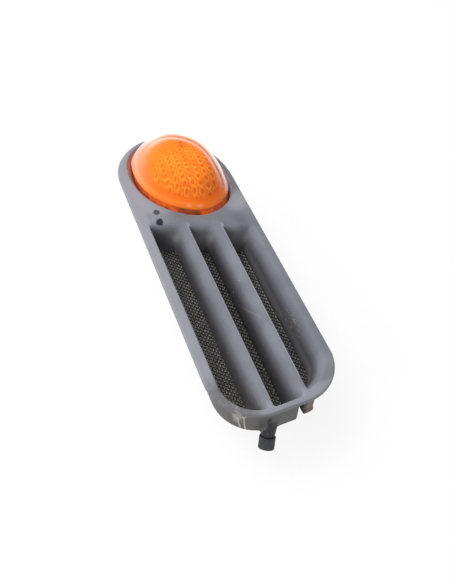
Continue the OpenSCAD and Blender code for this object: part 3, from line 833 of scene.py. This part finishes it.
def show(piece: bpy.types.Object, finish: Finish, slot: str, *nodes: str) -> None:
    """Gives a piece its finish and hands it to the frame.

    Args:
        piece: the piece, in place.
        finish: its finish.
        slot: its material slot in the record; not used.
        nodes: the solids that it stands for.
    """
    dress(piece, finish.material())
    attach(piece, BODY)
    if nodes:
        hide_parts(*nodes)
    log.info("%s: %d faces", piece.name, len(piece.data.polygons))


def lamp_to_frame(u: float, v: float, z: float) -> Vector:
    """Place in the frame, in metres, of a point in the lamp's own frame in millimetres."""
    turn = Matrix.Rotation(math.radians(LAMP_TILT), 3, "Z")
    return (turn @ Vector((u, v, z)) + Vector((*LAMP_CENTRE, 0.0))) * MM


def ring_skin(name: str, rings: Sequence[Sequence[Vector]]) -> bpy.types.Object:
    """Skins a closed surface over rings that each hold the same number of points.

    Args:
        name: the piece's name.
        rings: the rings in order; the first and the last are poles or meet.

    Returns:
        The piece, with its seam and poles closed.
    """
    deselect_all()
    around = len(rings[0])
    bpy.ops.mesh.primitive_grid_add(x_subdivisions=around, y_subdivisions=len(rings) - 1, size=1.0)
    piece = name_piece(name)
    for index, vertex in enumerate(piece.data.vertices):
        row, column = divmod(index, around + 1)
        vertex.co = rings[row][column % around]
    with editing(piece):
        bpy.ops.mesh.remove_doubles(threshold=1e-6)
        bpy.ops.mesh.select_all(action="SELECT")
        bpy.ops.mesh.normals_make_consistent(inside=False)
    return piece


@dataclass
class GrilleMoulding:
    """The grille: one moulding whose edges are all softly rounded, with sizes in millimetres."""

    voxel: float = 0.62
    smoothing: float = 0.5
    rounding_passes: int = 7
    slope_passes: int = 140
    slope_start: float = 12.0
    slope_end: float = 32.0
    slope_fade: float = 5.0
    wall_clear: float = 0.8
    side_reach: float = 25.0
    side_fade: float = 2.0
    foot: float = -13.0
    foot_fade: float = 3.0
    face_limit: int = 90000

    def slope_share(self, place: Vector) -> float:
        """Share of the softening that a point takes: whole on the far slopes of the slots.

        Args:
            place: the point, in millimetres.

        Returns:
            A share from 0 to 1.
        """
        slant = place.y + SCOOP_SLANT * place.x
        wall = min(abs(place.x - x) for x in SLOT_WALLS)
        shares = ((slant - self.slope_start) / self.slope_fade,
                  (self.slope_end - slant) / self.slope_fade,
                  (wall - self.wall_clear) / self.side_fade,
                  (self.side_reach - abs(place.x)) / self.side_fade,
                  (place.z - self.foot) / self.foot_fade)
        return max(0.0, min(1.0, *shares))

    def soften_slopes(self, piece: bpy.types.Object) -> None:
        """Runs the far slopes of the slots smoothly out of the flat below the lamp.

        Args:
            piece: the moulding.
        """
        group = piece.vertex_groups.new(name="far_slopes")
        for vertex in piece.data.vertices:
            share = self.slope_share(vertex.co / MM)
            if share > 0.0:
                group.add([vertex.index], share, "REPLACE")
        apply_modifier(piece, "SMOOTH", factor=self.smoothing, iterations=self.slope_passes,
                       vertex_group=group.name)
        piece.vertex_groups.clear()

    def build(self, frame: dict) -> None:
        """Rounds a copy of the solid and gives it its finish.

        Args:
            frame: the loaded frame.
        """
        deselect_all()
        mesh = frame["nodes"]["grille_frame"].data.copy()
        piece = bpy.data.objects.new("grille_moulding", mesh)
        bpy.context.scene.collection.objects.link(piece)
        with editing(piece):
            bpy.ops.mesh.remove_doubles(threshold=1e-6)
        apply_modifier(piece, "REMESH", mode="VOXEL", voxel_size=self.voxel * MM)
        apply_modifier(piece, "SMOOTH", factor=self.smoothing, iterations=self.rounding_passes)
        self.soften_slopes(piece)
        share = min(1.0, self.face_limit / len(piece.data.polygons))
        apply_modifier(piece, "DECIMATE", decimate_type="COLLAPSE", ratio=share)
        make_active(piece)
        bpy.ops.object.shade_smooth()
        piece.data.materials.clear()
        show(piece, GrilleFinish(), "grille", "grille_frame")


@dataclass
class MeshScreen:
    """Woven wire screen behind the slots, in a flat border, with sizes in millimetres."""

    pitch: float = 1.8
    wire_r: float = 0.5
    wave: float = 0.3
    sides: int = 6
    cuts: tuple = (-0.25, 0.0, 0.25)
    merge: float = 0.01
    spare: float = 1.6
    border_w: float = 1.6
    middle_z: float = SLOT_FLOOR - 0.6
    near_y: float = -97.0
    corners: tuple = ((-5.5, -75.2, 21.8, 180.0, 270.0), (9.1, -77.0, 14.9, 305.0, 360.0))
    near_end: float = 6.5
    far_y: float = 21.9
    far_skew: float = 22.0
    corner_steps: int = 6
    smooth_angle: float = 50.0

    def outline(self) -> list[Vector]:
        """Corners of the screen's outline.

        Returns:
            The corners in order, in millimetres.
        """
        points = []
        for x, y, radius, first, last in self.corners:
            for step in range(self.corner_steps + 1):
                angle = math.radians(first + (last - first) * step / self.corner_steps)
                reach = Vector((math.cos(angle), math.sin(angle), 0.0)) * radius
                points.append(Vector((x, y, 0.0)) + reach)
        points.insert(self.corner_steps + 1, Vector((self.near_end, self.near_y, 0.0)))
        slant = math.tan(math.radians(self.far_skew))
        for side in (points[-1].x, points[0].x):
            points.append(Vector((side, self.far_y - slant * side, 0.0)))
        return points

    def strand(self, axis: Axis, row: int) -> bpy.types.Object:
        """One wave of a wire.

        Args:
            axis: the way in which the wire runs.
            row: 0 or 1, its place in a pair of neighbours.

        Returns:
            The wire, two steps of the weave long.
        """
        period = 2 * self.pitch
        deselect_all()
        bpy.ops.mesh.primitive_cylinder_add(vertices=self.sides, radius=self.wire_r, depth=period,
                                            end_fill_type="NOTHING", rotation=(0, math.pi / 2, 0))
        wire = name_piece(f"wire_{axis.name.lower()}_{row}")
        apply_place(wire)
        for cut in self.cuts:
            with editing(wire):
                bpy.ops.mesh.bisect(plane_co=(cut * period, 0, 0), plane_no=(1, 0, 0))
        phase = math.pi * (row + (axis is Axis.FALLING))
        for vertex in wire.data.vertices:
            swing = math.cos(math.pi * vertex.co.x / self.pitch + phase)
            vertex.co += Vector((0.0, row * self.pitch, self.wave * swing))
        return wire

    def wires(self, axis: Axis) -> bpy.types.Object:
        """Wires that run one way, over and under the others.

        Args:
            axis: the way in which the wires run.

        Returns:
            One mesh of all these wires, wider than the screen.
        """
        pair = [self.strand(axis, row) for row in (0, 1)]
        wires = join_pieces(pair, f"wires_{axis.name.lower()}")
        period = 2 * self.pitch
        reach = self.spare * (self.far_y - self.near_y)
        count = math.ceil(reach / math.sqrt(2) / period) + 2
        for step in ((period, 0, 0), (0, period, 0)):
            apply_modifier(wires, "ARRAY", count=count, use_relative_offset=False,
                           use_constant_offset=True, constant_offset_displace=step,
                           use_merge_vertices=step[0] > 0, merge_threshold=self.merge)
        middle = (count - 1) // 2 * period
        shift = Matrix.Translation((-middle, -middle, 0.0))
        turn = Matrix.Rotation(math.radians(axis.value), 4, "Z")
        centre = Matrix.Translation((0.0, round((self.near_y + self.far_y) / 2), 0.0))
        wires.data.transform(centre @ turn @ shift)
        return wires

    def trim(self, wires: bpy.types.Object) -> None:
        """Cuts the wires off at the screen's outline.

        Args:
            wires: the wires that run one way.
        """
        corners = self.outline()
        for first, second in zip(corners, corners[1:] + corners[:1]):
            edge = second - first
            if edge.length < self.merge:
                continue
            with editing(wires):
                bpy.ops.mesh.bisect(plane_co=first, plane_no=(edge.y, -edge.x, 0.0),
                                    use_fill=True, clear_outer=True)

    def border(self) -> bpy.types.Object:
        """Flat border that holds the wires' ends.

        Returns:
            The border.
        """
        corners = self.outline()
        deselect_all()
        bpy.ops.mesh.primitive_circle_add(vertices=len(corners), fill_type="NGON")
        border = name_piece("screen_border")
        for vertex, corner in zip(border.data.vertices, corners):
            vertex.co = corner - Vector((0.0, 0.0, self.wire_r))
        with editing(border):
            bpy.ops.mesh.inset(thickness=self.border_w)
            bpy.ops.mesh.delete(type="FACE")
        apply_modifier(border, "SOLIDIFY", thickness=2 * self.wire_r, offset=1.0)
        return border

    def build(self) -> None:
        """Weaves, trims and borders the screen, and gives it its finish."""
        parts = [self.wires(axis) for axis in Axis]
        for wires in parts:
            self.trim(wires)
        piece = join_pieces([*parts, self.border()], "mesh_weave")
        lift = Matrix.Translation((0, 0, self.middle_z))
        piece.data.transform(Matrix.Diagonal((MM, MM, MM, 1)) @ lift)
        with editing(piece):
            bpy.ops.mesh.normals_make_consistent(inside=False)
        make_active(piece)
        bpy.ops.object.shade_smooth_by_angle(angle=math.radians(self.smooth_angle))
        show(piece, ScreenFinish(), "mesh", "mesh_screen")


@dataclass
class LampLens:
    """The amber lens: a smooth dome on an oval wall, with pillow optics under it.

    Its sizes are in millimetres, and u and v run across and along the lamp.
    """

    end_r: float = 20.5
    edge_z: float = 4.2
    dome_h: float = 24.4
    dome_power: float = 3.5
    dome_u: float = 4.5
    dome_v: float = -4.5
    wall_in: float = 2.7
    wall_t: float = 2.2
    flange_in: float = 1.0
    flange_top: float = -4.2
    flange_bot: float = -6.0
    edge_r: float = 0.4
    edge_steps: int = 3
    edge_angle: float = 28.0
    smooth_angle: float = 40.0
    arc_steps: int = 56
    dome_steps: int = 48
    optic_steps: int = 110
    optic_t: float = 0.5
    optic_gap: float = 0.2

    def oval(self, inset: float) -> list[Vector]:
        """Points of the lamp's oval, in the lamp's own frame.

        Args:
            inset: how far the oval is moved in.

        Returns:
            The points in order, in millimetres.
        """
        end_v = LAMP_HALF_L - self.end_r
        side_r = LAMP_HALF_W ** 2 + end_v ** 2 - self.end_r ** 2
        side_r /= 2 * (LAMP_HALF_W - self.end_r)
        side_c = side_r - LAMP_HALF_W
        half = math.atan2(end_v, side_c)
        quarter = math.pi / 2 - half
        arcs = ((-side_c, 0.0, side_r, 0.0, half),
                (0.0, end_v, self.end_r, math.pi / 2, quarter),
                (side_c, 0.0, side_r, math.pi, half),
                (0.0, -end_v, self.end_r, 3 * math.pi / 2, quarter))
        points = []
        for u, v, radius, middle, reach in arcs:
            for step in range(self.arc_steps):
                angle = middle - reach + 2 * reach * step / self.arc_steps
                away = Vector((math.cos(angle), math.sin(angle))) * (radius - inset)
                points.append(Vector((u, v)) + away)
        return points

    def flat_ring(self, inset: float, z: float) -> list[Vector]:
        """Oval ring at one height, in the frame, in metres."""
        return [lamp_to_frame(p.x, p.y, z) for p in self.oval(inset)]

    def dome_rings(self, inset: float, drop: float, steps: int,
                   relief: Callable[[float, float], float] | None = None) -> list[list[Vector]]:
        """Rings from the middle of the dome out to its edge: ovals that widen as they sink.

        Args:
            inset: how far the dome's edge lies inside the oval opening.
            drop: how far it lies below the outer surface.
            steps: number of rings.
            relief: height to add over a point of the frame, in millimetres.

        Returns:
            The rings in the frame, in metres.
        """
        rings = []
        edge = self.oval(inset)
        rise = self.dome_h - self.edge_z
        for step in range(steps + 1):
            share = math.sin(math.pi / 2 * step / steps)
            z = self.edge_z - drop + rise * (1 - share ** self.dome_power)
            ring = [lamp_to_frame(p.x * share + self.dome_u * (1 - share),
                                  p.y * share + self.dome_v * (1 - share), z) for p in edge]
            if relief:
                for point in ring:
                    point.z += relief(point.x / MM, point.y / MM) * MM
            rings.append(ring)
        return rings

    def shell(self) -> bpy.types.Object:
        """The lens itself: dome, wall and flange, hollow from below.

        Returns:
            The shell.
        """
        inner = self.wall_in + self.wall_t
        rings = self.dome_rings(self.wall_in, 0.0, self.dome_steps)
        rings += [self.flat_ring(inset, z) for inset, z in (
            (self.wall_in, self.flange_top), (self.flange_in, self.flange_top),
            (self.flange_in, self.flange_bot), (inner, self.flange_bot))]
        rings += reversed(self.dome_rings(inner, self.wall_t, self.dome_steps // 2))
        piece = ring_skin("lens_shell", rings)
        apply_modifier(piece, "BEVEL", width=self.edge_r * MM, segments=self.edge_steps,
                       limit_method="ANGLE", angle_limit=math.radians(self.edge_angle),
                       use_clamp_overlap=True)
        make_active(piece)
        bpy.ops.object.shade_smooth_by_angle(angle=math.radians(self.smooth_angle))
        return piece

    def optics(self) -> bpy.types.Object:
        """The pillow optics, as a thin sheet under the shell.

        Returns:
            The sheet.
        """
        cell = Pillow()
        inset = self.wall_in + self.wall_t + self.optic_gap
        drop = self.wall_t + self.optic_gap + cell.rise
        rings = self.dome_rings(inset, drop, self.optic_steps, cell.height)
        rings.append(self.flat_ring(inset, self.flange_top))
        piece = ring_skin("lens_optics", rings)
        apply_modifier(piece, "SOLIDIFY", thickness=self.optic_t * MM, offset=-1.0)
        make_active(piece)
        bpy.ops.object.shade_smooth()
        return piece

    def build(self) -> None:
        """Makes the shell and the optics, and gives them their finishes."""
        show(self.shell(), ShellFinish(), "lens", "lens")
        show(self.optics(), OpticFinish(), "lens")


@dataclass
class HiddenParts:
    """Finishes of the solids that stay as they are."""

    finishes: ClassVar[dict[str, PlainFinish]] = {
        "lens_gasket": PlainFinish("gasket_foam", rgb(38, 38, 40), 0.85),
        "lamp_body": PlainFinish("lamp_body_plastic", rgb(206, 205, 200), 0.4, cloud_mm=12.0),
        "lamp_screw_left": PlainFinish("screw_zinc", rgb(186, 188, 190), 0.35, metallic=1.0),
        "bulb_glass": PlainFinish("bulb_glass_clear", rgb(236, 236, 230), 0.06, alpha=0.3),
        "bulb_filament": PlainFinish("lead_wire", rgb(176, 174, 168), 0.3, metallic=1.0),
        "bulb_holder": PlainFinish("holder_plastic", rgb(42, 42, 45), 0.5),
        "contact_left": PlainFinish("contact_brass", rgb(206, 168, 96), 0.3, metallic=1.0),
        "peg_sleeve": PlainFinish("sleeve_rubber", rgb(66, 68, 74), 0.7, relief_mm=0.06),
    }
    shared: ClassVar[dict[str, str]] = {
        "holder_seal": "lens_gasket",
        "lamp_screw_right": "lamp_screw_left",
        "bulb_lead_left": "bulb_filament",
        "bulb_lead_right": "bulb_filament",
        "contact_right": "contact_left",
    }

    def build(self, frame: dict) -> None:
        """Gives each remaining solid its finish.

        Args:
            frame: the loaded frame.
        """
        made = {node: finish.material() for node, finish in self.finishes.items()}
        made.update({node: made[source] for node, source in self.shared.items()})
        for node, material in made.items():
            dress(frame["nodes"][node], material)
            log.info("%s: finish %s", node, material.name)


@dataclass
class Studio:
    """Pale floor, soft light and the camera of the photograph.

    The camera and the floor's shade are in millimetres and degrees, the softboxes in metres
    and watts.
    """

    target: tuple = (-2.85, -28.33, 3.2)
    distance: float = 323.08
    elevation: float = 55.18
    azimuth: float = -21.6
    focal_px: float = 613.6
    frame_h_px: float = 584.0
    sensor_mm: float = 36.0
    ambient: float = 0.5
    softboxes: tuple = (("softbox_top", (-0.25, 0.35, 0.75), 0.6, 7.0),
                        ("softbox_left", (-0.8, -0.1, 0.5), 0.5, 4.0))
    white: Colour = (1.0, 1.0, 1.0, 1.0)
    floor_z: float = -38.5
    floor_size: float = 6.0
    pale: Colour = rgb(240, 240, 240)
    shade: Colour = rgb(112, 112, 110)
    seen_white: float = 0.86
    shade_middle: Spot = (7.3, -4.0)
    shade_reach: Spot = (30.7, 80.0)
    shade_corner: float = 22.0
    fade_turn: Spot = (0.94, 0.36)
    fade_width: Span = (-12.0, 12.0, 2.6, 11.0)

    def camera(self) -> None:
        """Sets the camera up at the photograph's viewpoint."""
        tilt, turn = math.radians(self.elevation), math.radians(self.azimuth)
        back = Vector((math.sin(turn) * math.cos(tilt), -math.cos(turn) * math.cos(tilt),
                       math.sin(tilt)))
        data = bpy.data.cameras.new("photo_camera")
        data.sensor_fit = "VERTICAL"
        data.sensor_height = self.sensor_mm
        data.lens = self.focal_px * self.sensor_mm / self.frame_h_px
        data.clip_start = 0.01
        camera = bpy.data.objects.new("photo_camera", data)
        bpy.context.scene.collection.objects.link(camera)
        camera.location = (Vector(self.target) + back * self.distance) * MM
        camera.rotation_euler = (-back).to_track_quat("-Z", "Y").to_euler()
        bpy.context.scene.camera = camera

    def lamp(self, name: str, place: Sequence[float], size: float, power: float) -> None:
        """Adds one square softbox that looks at the object.

        Args:
            name: the light's name.
            place: its place in metres.
            size: its side in metres.
            power: its power in watts.
        """
        data = bpy.data.lights.new(name, "AREA")
        data.size = size
        data.energy = power
        light = bpy.data.objects.new(name, data)
        bpy.context.scene.collection.objects.link(light)
        light.visible_glossy = False
        light.location = place
        light.rotation_euler = (-Vector(place)).to_track_quat("-Z", "Y").to_euler()

    def world(self) -> None:
        """White surroundings, dimmer where they light the object."""
        world = bpy.data.worlds.new("studio_world")
        bpy.context.scene.world = world
        world.use_nodes = True
        tree = Tree(world.node_tree)
        seen = tree.seen_by("Is Camera Ray", "Is Transmission Ray")
        strength = seen * (1.0 - self.ambient) + self.ambient
        background = tree.add("ShaderNodeBackground", {}, {0: self.white, 1: strength})
        tree.add("ShaderNodeOutputWorld", {}, {0: background.outputs[0]})

    def floor_shade(self, tree: SurfaceTree) -> Value:
        """Shade of the floor under the object: a rounded oblong, softer at its far right.

        Args:
            tree: the floor's tree.

        Returns:
            The shade's strength.
        """
        away = [place - middle for place, middle in zip(tree.position, self.shade_middle)]
        past = [(side.absolute() - (reach - self.shade_corner)).at_least(0.0)
                for side, reach in zip(away, self.shade_reach)]
        outside = (past[0] ** 2.0 + past[1] ** 2.0) ** 0.5
        turned = away[0] * self.fade_turn[0] + away[1] * self.fade_turn[1]
        share = (self.shade_corner - outside) / turned.ramp(*self.fade_width)
        return share.at_least(0.0).at_most(1.0)

    def floor(self) -> None:
        """Pale floor that looks white, keeps a faint shadow and has a painted shadow under the
        object.
        """
        deselect_all()
        bpy.ops.mesh.primitive_plane_add(size=self.floor_size, location=(0, 0, self.floor_z * MM))
        floor = name_piece("studio_floor")
        tree = SurfaceTree("floor_white")
        shade = self.floor_shade(tree)
        # Painted shadow under the object; there the floor also stops looking white.
        tree.colour = tree.mix(shade, self.pale, self.shade)
        tree.surface(Roughness=0.9, Specular_IOR_Level=0.1)
        glow = tree.add("ShaderNodeEmission", {}, {"Color": self.white, "Strength": 1.0})
        seen = tree.seen_by("Is Camera Ray", "Is Glossy Ray", "Is Transmission Ray")
        share = seen * (1.0 - shade) * self.seen_white
        inputs = {0: share, 1: tree.shader.outputs[0], 2: glow.outputs[0]}
        mixed = tree.add("ShaderNodeMixShader", {}, inputs)
        tree.feed(tree.output.inputs["Surface"], mixed.outputs[0])
        dress(floor, tree.material)

    def build(self) -> None:
        """Sets the whole studio up."""
        self.camera()
        self.world()
        self.floor()
        for softbox in self.softboxes:
            self.lamp(*softbox)
        bpy.context.scene.view_settings.view_transform = "Standard"


def main() -> None:
    """Builds every piece round the frame."""
    logging.basicConfig(level=logging.INFO, format="%(name)s: %(message)s")
    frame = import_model()
    GrilleMoulding().build(frame)
    MeshScreen().build()
    LampLens().build()
    HiddenParts().build(frame)
    Studio().build()


if __name__ == "__main__":
    main()
